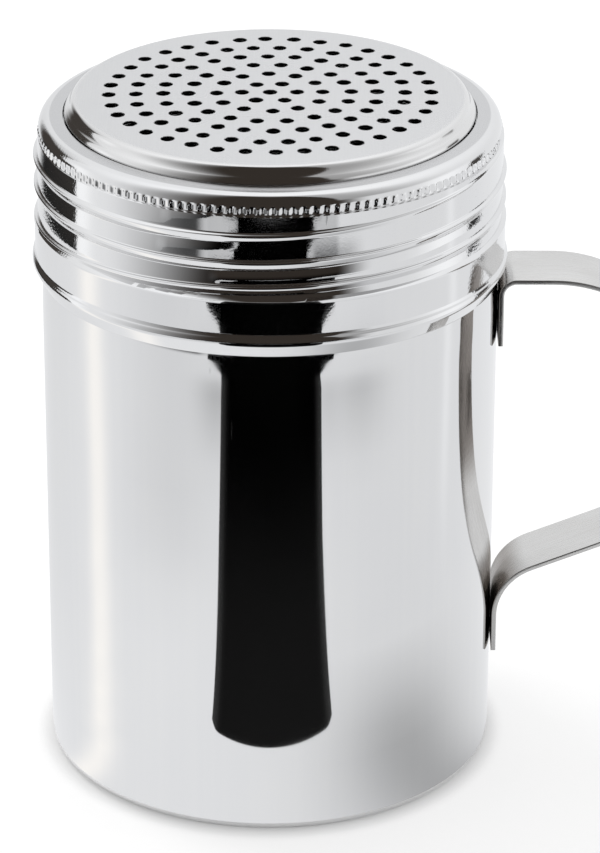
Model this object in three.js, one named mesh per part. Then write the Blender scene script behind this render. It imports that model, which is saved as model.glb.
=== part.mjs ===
import * as THREE from 'three';

// All sizes are in millimetres. The cup's axis is Z and its base stands on Z = 0.
// The handle points along +X.

// Clearances
const GAP = 0.3; // between pieces that turn or slide past each other
const TAB_GAP = 0.12; // between the flat tabs and the cup, filled by the welds

// Cup
const CUP_RADIUS = 35; // outside of the straight wall
const RIM_HEIGHT = 103.3; // top of the cut mouth
const CUP_SHEET = 0.5; // wall thickness
const BASE_CORNER = 2; // outside radius at the bottom edge
const NECK_DRAW = 0.35; // how far the threaded neck is drawn in
const MOUTH_DRAW = 0.4; // how far the mouth is drawn in beyond the neck
const MOUTH_LENGTH = 2.1; // height of the drawn-in mouth
const NECK_LENGTH = 16.2; // height of neck and mouth together

// Collar of the lid
const COLLAR_SHEET = 0.5; // wall thickness
const SHOULDER_RADIUS = 2; // outside rounding between side and shelf
const SHELF_SLOPE = 12; // fall of the shelf towards the outside, in degrees
const KNURL_HEIGHT = 1.15; // height of the ribbed grip band
const KNURL_DEPTH = 0.25; // from rib to groove
const KNURL_PER_SEGMENT = 3; // ribs on each flat of the round
const THREAD_HEIGHT = 12.6; // height of the threaded part
const BAND_HEIGHT = 5.6; // plain band below the thread
const CURL_HEIGHT = 3.1; // rolled bottom edge
const CURL_BULGE = 0.54; // how far the rolled edge stands out from the band

// Thread, right-handed with one start
const PITCH = 4.2; // rise for each turn
const RIDGE_HEIGHT = 0.5;
const RIDGE_FOOT = 0.6; // half the ridge's width at its foot
const RIDGE_CREST = 0.25; // half the ridge's width at its top
const FRONT_CREST = 1.7; // lowest crest at the front, above the thread's bottom
const COLLAR_RUNOUT = 1.25; // from the last crest up to the end of the threaded part
const COLLAR_FADE = 0.78; // turns over which the collar's ridge dies out at the top
const CUP_START = 1.35; // first crest on the cup, above the thread's bottom
const CUP_FADE = 0.11; // turns over which the cup's ridge dies out at both ends

// Perforated disc
const DISC_SHEET = 0.4; // sheet thickness
const DISC_WALL_RADIUS = 31.2; // outside of the raised wall at its foot
const DISC_RISE = 4.4; // from the flange's lower edge to the plate's rim
const DISC_DRAFT = 0.35; // how far the wall leans in on its way up
const DISC_EDGE = 1.15; // rounding between wall and plate
const DISC_CROWN = 0.34; // how far the plate's middle stands above its rim
const HOLE_RINGS = 6; // rings of holes round the middle one
const HOLE_PITCH = 4.07; // from ring to ring
const HOLES_ADDED = 6; // holes that each ring has more than the one inside it
const HOLE_RADIUS = 1;

// Handle
const STRAP_WIDTH = 12;
const STRAP_SHEET = 0.75; // strip thickness
const HANDLE_REACH = 30.5; // from the cup's wall to the outside of the loop
const HANDLE_SPAN = 63.7; // from the lower end of the lower tab up to the top of the upper arm
const LOWER_TAB = 6.2; // straight part of the lower tab
const UPPER_TAB = 8.25; // straight part of the upper tab
const UPPER_BEND = 2; // inside radius of the upper bend
const LOWER_BEND = 8.6; // inside radius of the lower bend
const LOWER_SLOPE = 21.9; // rise of the lower arm towards the outside, in degrees
const LOOP_FLAT = 2.9; // straight part at the outside of the loop
const WELD_RADIUS = 1.2;
const WELD_SPACING = 3.1; // between the two welds of a tab

// Fineness of round shapes
const SEGMENTS = 48; // flats on a full circle; one of them faces the handle
const HOLE_SIDES = 8;
const ARC_STEP = 8; // degrees between points of a bend

const TURN = Math.PI * 2;
const FRONT = -TURN / 4;
const DEGREE = Math.PI / 180;

// Levels and radii that follow from the sizes
const shoulderLevel = RIM_HEIGHT + GAP;
const knurlBottom = shoulderLevel - KNURL_HEIGHT;
const threadTop = knurlBottom - RIDGE_HEIGHT / 2;
const threadBottom = threadTop - THREAD_HEIGHT;
const bandTop = threadBottom - COLLAR_SHEET * 0.8;
const bandBottom = bandTop - BAND_HEIGHT;
const collarBottom = bandBottom - CURL_HEIGHT;

const neckRadius = CUP_RADIUS - NECK_DRAW;
const mouthRadius = neckRadius - MOUTH_DRAW;
const neckBottom = RIM_HEIGHT - NECK_LENGTH;
const mouthBottom = RIM_HEIGHT - MOUTH_LENGTH;

const collarLand = neckRadius + GAP + COLLAR_SHEET;
const collarGrip = mouthRadius + GAP + COLLAR_SHEET;
const bandRadius = collarLand + RIDGE_HEIGHT;
const shoulderCentre = collarGrip - SHOULDER_RADIUS;
const shelfRadius = DISC_WALL_RADIUS + GAP;

// A closed skin of triangles; a point given twice is kept once
class Skin {
  constructor() {
    this.points = [];
    this.triangles = [];
    this.numbers = new Map();
  }

  point(x, y, z) {
    const key = [x, y, z].map((value) => Math.round(value * 1e4)).join();
    if (!this.numbers.has(key)) {
      this.numbers.set(key, this.points.length / 3);
      this.points.push(x, y, z);
    }
    return this.numbers.get(key);
  }

  triangle(a, b, c) {
    if (a !== b && b !== c && c !== a) this.triangles.push(a, b, c);
  }

  quad(a, b, c, d) {
    this.triangle(a, b, c);
    this.triangle(a, c, d);
  }

  geometry() {
    const geometry = new THREE.BufferGeometry();
    geometry.setAttribute('position', new THREE.Float32BufferAttribute(this.points, 3));
    geometry.setIndex(this.triangles);
    geometry.computeVertexNormals();
    return geometry;
  }
}

const azimuthOf = (index, count) => ((index % count) / count + 0.5 / SEGMENTS) * TURN;

// One level circle of points; the radius is a number or a function of index and azimuth
function circle(skin, radius, z, count = SEGMENTS) {
  const ring = [];
  for (let i = 0; i < count; i += 1) {
    const azimuth = azimuthOf(i, count);
    const r = typeof radius === 'function' ? radius(i, azimuth) : radius;
    ring.push(skin.point(r * Math.cos(azimuth), r * Math.sin(azimuth), z));
  }
  return ring;
}

// Skin between two circles, one of which may have several times as many points
function joinCircles(skin, first, second) {
  const widening = second.length >= first.length;
  const [coarse, fine] = widening ? [first, second] : [second, first];
  const step = fine.length / coarse.length;
  const middle = Math.floor(step / 2);
  const add = (a, b, c) => (widening ? skin.triangle(a, b, c) : skin.triangle(a, c, b));
  coarse.forEach((here, i) => {
    const next = coarse[(i + 1) % coarse.length];
    const fineAt = (k) => fine[(i * step + k) % fine.length];
    add(here, next, fineAt(middle));
    for (let k = 0; k < step; k += 1) {
      add(k < middle ? here : next, fineAt(k + 1), fineAt(k));
    }
  });
}

// Skin through a list of circles given as [radius, height, count]
function joinProfile(skin, profile) {
  const rings = profile.map(([radius, z, count]) => circle(skin, radius, z, count));
  for (let i = 1; i < rings.length; i += 1) joinCircles(skin, rings[i - 1], rings[i]);
}

function closeWithFan(skin, radius, z, facingUp) {
  const centre = skin.point(0, 0, z);
  const ring = circle(skin, radius, z);
  ring.forEach((number, i) => {
    const next = ring[(i + 1) % ring.length];
    if (facingUp) skin.triangle(centre, number, next);
    else skin.triangle(centre, next, number);
  });
}

// Height of the thread's crest at an azimuth counted on through the turns
const crestHeight = (azimuth) => threadBottom + FRONT_CREST + (PITCH * (azimuth - FRONT)) / TURN;
const azimuthAt = (z) => FRONT + ((z - threadBottom - FRONT_CREST) * TURN) / PITCH;

const collarEnd = azimuthAt(threadTop - COLLAR_RUNOUT);
const cupStart = azimuthAt(threadBottom + CUP_START);
const cupEnd = collarEnd - COLLAR_FADE * TURN;

// Radius of a threaded wall; strength says how much of the ridge stands at an azimuth
function threadedRadius(land, strength) {
  return (azimuth, z) => {
    const turns = (z - crestHeight(azimuth)) / PITCH;
    const nearest = Math.round(turns);
    const distance = Math.abs(turns - nearest) * PITCH;
    const shape = THREE.MathUtils.clamp((RIDGE_FOOT - distance) / (RIDGE_FOOT - RIDGE_CREST), 0, 1);
    return land + RIDGE_HEIGHT * shape * strength(azimuth + nearest * TURN);
  };
}

const collarStrength = (azimuth) => (
  1 - THREE.MathUtils.smoothstep(azimuth, cupEnd, collarEnd)
);
const cupStrength = (azimuth) => (
  THREE.MathUtils.smoothstep(azimuth, cupStart, cupStart + CUP_FADE * TURN)
  * (1 - THREE.MathUtils.smoothstep(azimuth, cupEnd - CUP_FADE * TURN, cupEnd))
);

// Wall whose rows follow the thread; it ends level at the bottom and at the top
function threadedWall(skin, radius, bottom, top, outside) {
  const rows = [-RIDGE_FOOT, -RIDGE_CREST, RIDGE_CREST, RIDGE_FOOT];
  const nearest = RIDGE_CREST / 2;
  const corner = (column, row) => {
    const lap = row === rows.length ? SEGMENTS : 0;
    const counted = ((column + lap + 0.5) * TURN) / SEGMENTS;
    const azimuth = azimuthOf((((column % SEGMENTS) + SEGMENTS) % SEGMENTS), SEGMENTS);
    let z = crestHeight(counted) + rows[row % rows.length];
    if (z < bottom + nearest) z = bottom;
    if (z > top - nearest) z = top;
    const r = radius(azimuth, z);
    return skin.point(r * Math.cos(azimuth), r * Math.sin(azimuth), z);
  };
  const columnAt = (z) => Math.floor((azimuthAt(z) * SEGMENTS) / TURN);
  for (let column = columnAt(bottom - PITCH); column <= columnAt(top + PITCH); column += 1) {
    for (let row = 0; row < rows.length; row += 1) {
      const a = corner(column, row);
      const b = corner(column + 1, row);
      const c = corner(column + 1, row + 1);
      const d = corner(column, row + 1);
      if (outside) skin.quad(a, b, c, d);
      else skin.quad(a, d, c, b);
    }
  }
}

// Points of an arc in a profile, from one angle to another in degrees
function arc(centreX, centreZ, radius, from, to, height = radius) {
  const steps = Math.max(1, Math.ceil(Math.abs(to - from) / (radius > UPPER_BEND * 2 ? ARC_STEP : ARC_STEP * 3)));
  return Array.from({ length: steps + 1 }, (_, i) => {
    const angle = (from + ((to - from) * i) / steps) * DEGREE;
    return [centreX + radius * Math.cos(angle), centreZ + height * Math.sin(angle)];
  });
}

function makeCup() {
  const skin = new Skin();
  const inner = CUP_RADIUS - CUP_SHEET;
  const cornerCentre = CUP_RADIUS - BASE_CORNER;
  const wall = threadedRadius(neckRadius, cupStrength);
  const wallBottom = crestHeight(cupStart) - RIDGE_FOOT * 1.5;
  const wallTop = crestHeight(cupEnd) + RIDGE_FOOT * 1.5;
  const step = NECK_DRAW * 2;
  closeWithFan(skin, cornerCentre, 0, false);
  joinProfile(skin, [
    ...arc(cornerCentre, BASE_CORNER, BASE_CORNER, -90, 0),
    [CUP_RADIUS, neckBottom - step],
    [neckRadius, neckBottom],
    [(_, azimuth) => wall(azimuth, wallBottom), wallBottom],
  ]);
  threadedWall(skin, wall, wallBottom, wallTop, true);
  joinProfile(skin, [
    [(_, azimuth) => wall(azimuth, wallTop), wallTop],
    [neckRadius, mouthBottom - step],
    [mouthRadius, mouthBottom],
    [mouthRadius, RIM_HEIGHT],
    [mouthRadius - CUP_SHEET, RIM_HEIGHT],
    [mouthRadius - CUP_SHEET, mouthBottom],
    [neckRadius - CUP_SHEET, mouthBottom - step],
    [neckRadius - CUP_SHEET, neckBottom],
    [inner, neckBottom - step],
    ...arc(cornerCentre, BASE_CORNER, BASE_CORNER - CUP_SHEET, 0, -90),
  ]);
  closeWithFan(skin, cornerCentre, CUP_SHEET, true);
  return skin.geometry();
}

// Shelf and shoulder at a depth below the collar's outside, from the outer side inwards
function shoulderProfile(depth, innerRadius) {
  const radius = SHOULDER_RADIUS - depth;
  const bend = arc(shoulderCentre, shoulderLevel, radius, 0, 90 - SHELF_SLOPE);
  const [r, z] = bend[bend.length - 1];
  const rise = (r - innerRadius) * Math.tan(SHELF_SLOPE * DEGREE);
  return [...bend, [innerRadius, z + rise]];
}

function makeCollar() {
  const skin = new Skin();
  const outer = threadedRadius(collarLand, collarStrength);
  const inner = threadedRadius(collarLand - COLLAR_SHEET, collarStrength);
  const innerTop = threadTop - COLLAR_SHEET * 0.8;
  const bandInside = bandRadius - COLLAR_SHEET;
  const curlMiddle = collarBottom + CURL_HEIGHT / 2;
  const curlDepth = CURL_BULGE + COLLAR_SHEET / 2;
  const curlCentre = bandRadius + CURL_BULGE - curlDepth;
  const curlEnd = Math.acos((bandRadius - curlCentre) / curlDepth) / DEGREE;
  const ribs = SEGMENTS * KNURL_PER_SEGMENT * 2;
  const rib = (i) => collarGrip + KNURL_DEPTH * (i % 2 === 0 ? -0.4 : 0.6);
  const ribMargin = KNURL_HEIGHT / 8;
  const curl = arc(curlCentre, curlMiddle, curlDepth, -90, curlEnd, CURL_HEIGHT / 2);
  joinProfile(skin, [
    ...curl,
    [bandRadius, bandTop],
    [(_, azimuth) => outer(azimuth, threadBottom), threadBottom],
  ]);
  threadedWall(skin, outer, threadBottom, threadTop, true);
  joinProfile(skin, [
    [(_, azimuth) => outer(azimuth, threadTop), threadTop],
    [collarGrip, knurlBottom],
    [rib, knurlBottom + ribMargin, ribs],
    [rib, shoulderLevel - ribMargin, ribs],
    ...shoulderProfile(0, shelfRadius),
    ...shoulderProfile(COLLAR_SHEET, shelfRadius).reverse(),
    [collarGrip - COLLAR_SHEET, innerTop + RIDGE_HEIGHT / 2],
    [(_, azimuth) => inner(azimuth, innerTop), innerTop],
  ]);
  threadedWall(skin, inner, threadBottom, innerTop, false);
  joinProfile(skin, [
    [(_, azimuth) => inner(azimuth, threadBottom), threadBottom],
    [bandInside, bandTop],
    [bandInside, collarBottom + COLLAR_SHEET],
    curl[0],
  ]);
  return skin.geometry();
}

const plateRadius = DISC_WALL_RADIUS - DISC_DRAFT - DISC_EDGE;
const plateHeight = (r) => (
  shoulderLevel + DISC_RISE + DISC_CROWN * (1 - (r / plateRadius) ** 2)
);

function polygon(centreX, centreY, radius, sides, phase = 0) {
  return Array.from({ length: sides }, (_, i) => {
    const angle = phase + (i * TURN) / sides;
    return new THREE.Vector2(centreX + radius * Math.cos(angle), centreY + radius * Math.sin(angle));
  });
}

function holesOfRing(ring) {
  if (ring === 0) return [polygon(0, 0, HOLE_RADIUS, HOLE_SIDES)];
  const radius = ring * HOLE_PITCH;
  const count = HOLES_ADDED * ring;
  return Array.from({ length: count }, (_, i) => {
    const azimuth = (i * TURN) / count;
    return polygon(radius * Math.cos(azimuth), radius * Math.sin(azimuth), HOLE_RADIUS, HOLE_SIDES, azimuth);
  });
}

// Upper and lower face of the perforated plate, ring by ring, with the walls of the holes
function addPlate(skin) {
  const upper = (p) => skin.point(p.x, p.y, plateHeight(p.length()));
  const lower = (p) => skin.point(p.x, p.y, plateHeight(p.length()) - DISC_SHEET);
  let inside = null;
  for (let ring = 0; ring <= HOLE_RINGS; ring += 1) {
    const last = ring === HOLE_RINGS;
    const outside = last
      ? polygon(0, 0, plateRadius, SEGMENTS, azimuthOf(0, SEGMENTS))
      : polygon(0, 0, (ring + 0.5) * HOLE_PITCH, HOLES_ADDED * (ring + 1));
    const holes = holesOfRing(ring);
    const openings = inside ? [...holes, inside] : holes;
    const corners = [outside, ...openings].flat();
    THREE.ShapeUtils.triangulateShape(outside, openings).forEach(([a, b, c]) => {
      const turned = THREE.ShapeUtils.area([corners[a], corners[b], corners[c]]) < 0;
      const face = (turned ? [a, c, b] : [a, b, c]).map((number) => corners[number]);
      skin.triangle(...face.map(upper));
      skin.triangle(...face.reverse().map(lower));
    });
    holes.forEach((hole) => hole.forEach((p, i) => {
      const next = hole[(i + 1) % hole.length];
      skin.quad(lower(next), lower(p), upper(p), upper(next));
    }));
    inside = outside;
  }
}

function makeDisc() {
  const skin = new Skin();
  const plateEdge = shoulderLevel + DISC_RISE;
  const depth = COLLAR_SHEET + GAP;
  const topRadius = DISC_WALL_RADIUS - DISC_DRAFT;
  const innerEdge = DISC_EDGE - DISC_SHEET;
  const edgeLevel = plateEdge - DISC_EDGE;
  addPlate(skin);
  joinProfile(skin, [
    ...arc(plateRadius, edgeLevel, innerEdge, 90, 0),
    ...shoulderProfile(depth + DISC_SHEET, DISC_WALL_RADIUS - DISC_SHEET).reverse(),
    ...shoulderProfile(depth, DISC_WALL_RADIUS),
    ...arc(topRadius - DISC_EDGE, edgeLevel, DISC_EDGE, 0, 90),
  ]);
  return skin.geometry();
}

const tabInside = CUP_RADIUS * Math.cos(TURN / SEGMENTS / 2) + TAB_GAP;
const armTop = collarBottom - GAP;
const handleFoot = armTop - HANDLE_SPAN;
const lowerTabTop = handleFoot + LOWER_TAB;

// Middle line of the bent strip in the XZ plane, from the lower tab round to the upper one
function strapLine() {
  const half = STRAP_SHEET / 2;
  const tab = tabInside + half;
  const nose = CUP_RADIUS + HANDLE_REACH - half;
  const lowerRadius = LOWER_BEND + half;
  const upperRadius = UPPER_BEND + half;
  const sine = Math.sin(LOWER_SLOPE * DEGREE);
  const cosine = Math.cos(LOWER_SLOPE * DEGREE);
  const lowerX = tab + lowerRadius;
  const upperX = tab + upperRadius;
  const arm = armTop - half;
  const free = arm - LOOP_FLAT - lowerTabTop - (lowerRadius + (nose - lowerX) * sine) / cosine;
  const loop = free / (1 + (1 - sine) / cosine);
  return [
    [tab, handleFoot],
    ...arc(lowerX, lowerTabTop, lowerRadius, 180, 90 + LOWER_SLOPE),
    ...arc(nose - loop, arm - loop - LOOP_FLAT, loop, LOWER_SLOPE - 90, 0),
    ...arc(nose - loop, arm - loop, loop, 0, 90),
    ...arc(upperX, arm - upperRadius, upperRadius, 90, 180),
    [tab, arm - upperRadius - UPPER_TAB],
  ];
}

// The line moved sideways by a distance, square to its run at every point
function shifted(line, distance) {
  return line.map(([x, z], i) => {
    const before = line[Math.max(0, i - 1)];
    const after = line[Math.min(line.length - 1, i + 1)];
    const a = new THREE.Vector2(x - before[0], z - before[1]).normalize();
    const b = new THREE.Vector2(after[0] - x, after[1] - z).normalize();
    const run = a.clone().add(b).normalize();
    const stretch = a.lengthSq() && b.lengthSq() ? 1 / run.dot(b) : 1;
    return new THREE.Vector2(x + run.y * distance * stretch, z - run.x * distance * stretch);
  });
}

function makeStrap() {
  const line = strapLine();
  const outline = [
    ...shifted(line, STRAP_SHEET / 2),
    ...shifted(line, -STRAP_SHEET / 2).reverse(),
  ];
  const geometry = new THREE.ExtrudeGeometry(new THREE.Shape(outline), {
    depth: STRAP_WIDTH,
    bevelEnabled: false,
  });
  geometry.rotateX(Math.PI / 2);
  geometry.translate(0, STRAP_WIDTH / 2, 0);
  return geometry;
}

function makeWeld(height) {
  const facet = tabInside - TAB_GAP;
  const geometry = new THREE.CylinderGeometry(WELD_RADIUS, WELD_RADIUS, TAB_GAP, SEGMENTS / 2);
  geometry.rotateZ(Math.PI / 2);
  geometry.translate(facet + TAB_GAP / 2, 0, height);
  return geometry;
}

function named(name, geometry, colour, roughness) {
  const material = new THREE.MeshStandardMaterial({ color: colour, roughness, metalness: 1 });
  const mesh = new THREE.Mesh(geometry, material);
  mesh.name = name;
  return mesh;
}

const upperTabMiddle = armTop - UPPER_BEND - STRAP_SHEET - UPPER_TAB / 2;
const lowerTabMiddle = handleFoot + LOWER_TAB / 2;

const dredger = new THREE.Group();
dredger.name = 'sugar_dredger';
dredger.add(
  named('cup', makeCup(), 0xdcdad6, 0.12),
  named('handle_strap', makeStrap(), 0xd2d0cc, 0.3),
  named('weld_upper_high', makeWeld(upperTabMiddle + WELD_SPACING / 2), 0xa8a5a0, 0.5),
  named('weld_upper_low', makeWeld(upperTabMiddle - WELD_SPACING / 2), 0xa8a5a0, 0.5),
  named('weld_lower_high', makeWeld(lowerTabMiddle + WELD_SPACING / 2), 0xa8a5a0, 0.5),
  named('weld_lower_low', makeWeld(lowerTabMiddle - WELD_SPACING / 2), 0xa8a5a0, 0.5),
  named('sprinkler_disc', makeDisc(), 0xcfcecb, 0.35),
  named('lid_collar', makeCollar(), 0xdcdad6, 0.12),
);

export default dredger;
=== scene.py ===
import math
import random

import bpy
from mathutils import Matrix, Vector
from mathutils.geometry import delaunay_2d_cdt


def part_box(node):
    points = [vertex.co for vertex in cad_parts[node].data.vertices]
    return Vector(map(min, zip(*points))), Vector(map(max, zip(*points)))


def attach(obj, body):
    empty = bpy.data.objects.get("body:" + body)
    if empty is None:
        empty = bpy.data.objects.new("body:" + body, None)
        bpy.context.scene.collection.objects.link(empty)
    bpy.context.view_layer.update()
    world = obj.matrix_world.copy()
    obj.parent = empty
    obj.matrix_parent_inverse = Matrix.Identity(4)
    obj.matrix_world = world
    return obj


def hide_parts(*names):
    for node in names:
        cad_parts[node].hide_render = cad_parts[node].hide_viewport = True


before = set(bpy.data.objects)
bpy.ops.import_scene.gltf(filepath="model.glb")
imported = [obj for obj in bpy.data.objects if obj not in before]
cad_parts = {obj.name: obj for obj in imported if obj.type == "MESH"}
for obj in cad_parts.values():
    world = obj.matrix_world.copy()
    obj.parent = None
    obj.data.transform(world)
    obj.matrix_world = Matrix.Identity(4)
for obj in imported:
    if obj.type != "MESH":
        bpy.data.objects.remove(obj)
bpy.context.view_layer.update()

# Lengths are in millimetres until a mesh is made. The cup's axis is Z, the handle points along +X.
# Directions round the axis are in degrees or radians from +X; the front of the picture is at -90.
MM = 0.001
TURN = 2 * math.pi
FRONT = -TURN / 4

# Cup
CUP_RADIUS = 35.0
CUP_SHEET = 0.5
CORNER = 2.0
NECK_RADIUS = 34.65
MOUTH_RADIUS = 34.25
NECK_STEP = 0.7
NECK_BOTTOM = 87.1
CUP_THREAD_BOTTOM = 89.9
CUP_THREAD_TOP = 99.0
NECK_TOP = 100.5
MOUTH_BOTTOM = 101.2
RIM = 103.3
# The wall leans in below the lid: slopes, and the heights between which they set in
LEAN = 0.025
LEAN_BOTTOM = 73.5
LEAN_RUN = 4.2
NIP = 0.02
NIP_BOTTOM = 79.0
LEAN_STEP = 0.4

# Lid collar
SHEET = 0.5
LAND = 35.45
BAND = 35.96
THREAD_BOTTOM = 89.6
THREAD_TOP = 102.2
INSIDE_TOP = 101.8
BAND_BOTTOM = 83.95
CURL_BOTTOM = 80.5
GRIP = 35.05
SHOULDER = 103.6
SHOULDER_RADIUS = 1.75
SHELF_SLOPE = 5.0
SHELF_RADIUS = 31.3
RIBS = 148
RIB_DEPTH = 0.23
RIB_FOOT = 0.1
# Rows of the knurl, and over what height its ribs rise from its edges
KNURL_ROWS = [102.3, 102.36, 102.44, 102.54, 102.7, 103.0, 103.3, 103.48, 103.58, 103.66, 103.74]
KNURL_TOP = 103.75
KNURL_LOWER_END = 0.25
KNURL_UPPER_END = 0.3

# Thread
PITCH = 4.2
RIDGE = 0.5
UPPER_FLANK = 0.38
LOWER_FLANK = 1.5
LOWER_SLOPE = 0.56
CREST_ROUNDING = 0.12
FRONT_CREST = 91.3
COLLAR_END = 737.0
COLLAR_FADE = 150.0
CUP_RIDGE = 0.28
CUP_START = -120.0
CUP_END = 456.0
CUP_FADE = 40.0
FLANK_ROWS = 26
FLANK_MARGIN = 0.1

# Where the pressed thread strays from an even rise: degrees along the thread, millimetres
STRAY = [(-360, 0), (-180, -0.75), (-90, 0.1), (0, 0.3), (90, 0.35), (180, 0.4), (270, -0.3),
         (360, 0.4), (450, 0.5), (540, 0.65), (630, -0.3), (720, 1.15), (900, 0.6), (1100, 0)]
# How deep the wall is drawn in just under the ridge: degrees along the thread, millimetres
GROOVE = [(-360, 0.2), (-180, 0.3), (-125, 0.3), (-90, 0.17), (0, 0.1), (180, 0.3), (235, 0.3),
          (270, 0.16), (400, 0.05), (480, 0.1), (540, 0.3), (595, 0.3), (612, 0.1),
          (625, 0), (800, 0), (890, 0.3), (955, 0.3), (980, 0), (1200, 0)]
# Over what height it fades out below the ridge's foot, which is less where it is shallow
GROOVE_REACH = 2.5
SHALLOW_GROOVE = 0.2
SHALLOW_REACH = 1.4

# Perforated disc
DISC_SHEET = 0.4
DISC_FOOT = 31.14
PLATE_EDGE = 108.0
PLATE_RADIUS = 29.2
PLATE_ROUNDING = 1.0
EDGE_LEAN = 20.0
FLARE_RADIUS = 2.0
FLARE_TURN = 34.0
CROWN = 0.34
HOLE_RINGS = 6
HOLE_PITCH = 4.07
HOLE_RADIUS = 0.98
# How far a hole strays from its even place, and the factors between which its size strays
HOLE_STRAY = 0.2
HOLE_SMALLEST = 0.95
HOLE_LARGEST = 1.04
HOLES_TURNED = math.radians(2.0)
HOLE_SIDES = 28
HOLE_LIP = 0.08
HOLE_GUARD = 0.15
# Further points of the plate's mesh: round each hole, and in rings near the edge
AROUND_HOLE = 1.6
NEAR_EDGE = 26.4
NEAR_EDGE_STEP = 0.9
NEAR_EDGE_COUNT = 72

# Handle strap
STRAP_WIDTH = 12.0
STRAP_SHEET = 0.75
TAB_INSIDE = 35.05
STRAP_BEVEL = 0.12
HANDLE_FOOT = 16.5
ARM_TOP = 80.2
NOSE = 65.5
LOWER_TAB = 6.2
UPPER_TAB = 8.25
LOWER_BEND = 8.6
UPPER_BEND = 2.0
LOWER_ARM = 21.9
LOOP_FLAT = 2.9

# Spot welds, sunk a little into the wall and into the tab
WELD_RADIUS = 1.15
WELD_END_RADIUS = 0.9
WELD_EDGE = 0.03
WELD_ROOT = CUP_RADIUS * math.cos(math.pi / 48)
WELD_SIDES = 24

# Camera, from the photograph: 600 x 853 picture points
PHOTO_LONG_SIDE = 853
FOCAL_POINTS = 4187.0
LOOK_DOWN = math.radians(24.886)
ROLL = math.radians(0.189)
DISTANCE = 655.0
TARGET = Vector((4.67, 0.0, 52.76))

SEGMENTS = 2 * RIBS


def add_camera():
    ahead = Vector((0, math.cos(LOOK_DOWN), -math.sin(LOOK_DOWN)))
    level_up = Vector((0, math.sin(LOOK_DOWN), math.cos(LOOK_DOWN)))
    right = Vector((math.cos(ROLL), 0, 0)) + math.sin(ROLL) * level_up
    up = math.cos(ROLL) * level_up - Vector((math.sin(ROLL), 0, 0))
    data = bpy.data.cameras.new("photo_camera")
    data.lens = FOCAL_POINTS * data.sensor_width / PHOTO_LONG_SIDE
    data.clip_start = 0.01
    data.clip_end = 50
    camera = bpy.data.objects.new("photo_camera", data)
    bpy.context.scene.collection.objects.link(camera)
    turn = Matrix((right, up, -ahead)).transposed().to_4x4()
    camera.matrix_world = Matrix.Translation((TARGET - DISTANCE * ahead) * MM) @ turn
    bpy.context.scene.camera = camera


class Skin:
    """Points and faces of one mesh; a point given twice is kept once."""

    def __init__(self):
        self.points = []
        self.faces = []
        self.numbers = {}

    def point(self, x, y, z):
        key = (round(x, 5), round(y, 5), round(z, 5))
        if key not in self.numbers:
            self.numbers[key] = len(self.points)
            self.points.append((x, y, z))
        return self.numbers[key]

    def face(self, *corners):
        kept = [c for i, c in enumerate(corners) if c != corners[i - 1]]
        if len(set(kept)) == len(kept) and len(kept) > 2:
            self.faces.append(kept)

    def ring(self, radius, height, count=SEGMENTS):
        """One circle of points; radius and height may depend on the azimuth."""
        result = []
        for i in range(count):
            a = TURN * i / count
            r = radius(a) if callable(radius) else radius
            z = height(a) if callable(height) else height
            result.append(self.point(r * math.cos(a), r * math.sin(a), z))
        return result

    def join(self, first, second):
        """Faces between two circles, one of which may have several times as many points."""
        if len(first) == len(second):
            for i in range(len(first)):
                n = (i + 1) % len(first)
                self.face(first[i], first[n], second[n], second[i])
            return
        widening = len(second) > len(first)
        coarse, fine = (first, second) if widening else (second, first)
        step = len(fine) // len(coarse)
        for i, here in enumerate(coarse):
            after = coarse[(i + 1) % len(coarse)]
            fan = [fine[(i * step + k) % len(fine)] for k in range(step + 1)]
            corners = [(here, after, fan[step // 2])]
            corners += [(here if k < step // 2 else after, fan[k + 1], fan[k]) for k in range(step)]
            for a, b, c in corners:
                self.face(*((a, b, c) if widening else (a, c, b)))

    def turned(self, profile):
        """Surface of revolution through [radius, height] or [radius, height, number of points]."""
        rings = [self.ring(*entry) for entry in profile]
        for first, second in zip(rings, rings[1:]):
            self.join(first, second)


def add_object(name, points, faces, material):
    mesh = bpy.data.meshes.new(name)
    mesh.from_pydata([(x * MM, y * MM, z * MM) for x, y, z in points], [], faces)
    mesh.validate()
    mesh.materials.append(material)
    thing = bpy.data.objects.new(name, mesh)
    bpy.context.scene.collection.objects.link(thing)
    return thing


def add_piece(name, skin, body, nodes, material, sharp=38):
    piece = add_object(name, skin.points, skin.faces, material)
    piece.data.shade_smooth()
    piece.data.set_sharp_from_angle(angle=math.radians(sharp))
    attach(piece, body)
    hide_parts(*nodes)


def arc(cx, cz, radius, start, end, height=None, step=6.0):
    height = radius if height is None else height
    steps = max(2, math.ceil(abs(end - start) / step))
    angles = [math.radians(start + (end - start) * i / steps) for i in range(steps + 1)]
    return [(cx + radius * math.cos(a), cz + height * math.sin(a)) for a in angles]


def held(profile, margin=0.12):
    """The profile with a point close to each end of its longer straight runs."""
    result = [profile[0]]
    for (r0, z0), (r1, z1) in zip(profile, profile[1:]):
        length = math.hypot(r1 - r0, z1 - z0)
        if length > 4 * margin:
            for share in (margin / length, 1 - margin / length):
                result.append((r0 + (r1 - r0) * share, z0 + (z1 - z0) * share))
        result.append((r1, z1))
    return result


def smooth(value, low, high):
    t = min(1.0, max(0.0, (value - low) / (high - low)))
    return t * t * (3 - 2 * t)


def along(stops, where, straight=False):
    """Value between listed stops, smooth or straight."""
    if where <= stops[0][0]:
        return stops[0][1]
    for (x0, y0), (x1, y1) in zip(stops, stops[1:]):
        if where <= x1:
            return y0 + (y1 - y0) * ((where - x0) / (x1 - x0) if straight else smooth(where, x0, x1))
    return stops[-1][1]


def even_crest(degrees):
    """Height of an evenly rising thread's crest, in degrees counted on through the turns."""
    return FRONT_CREST + PITCH * (degrees + 90) / 360


def pressed_crest(degrees):
    return even_crest(degrees) + along(STRAY, degrees)


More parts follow.
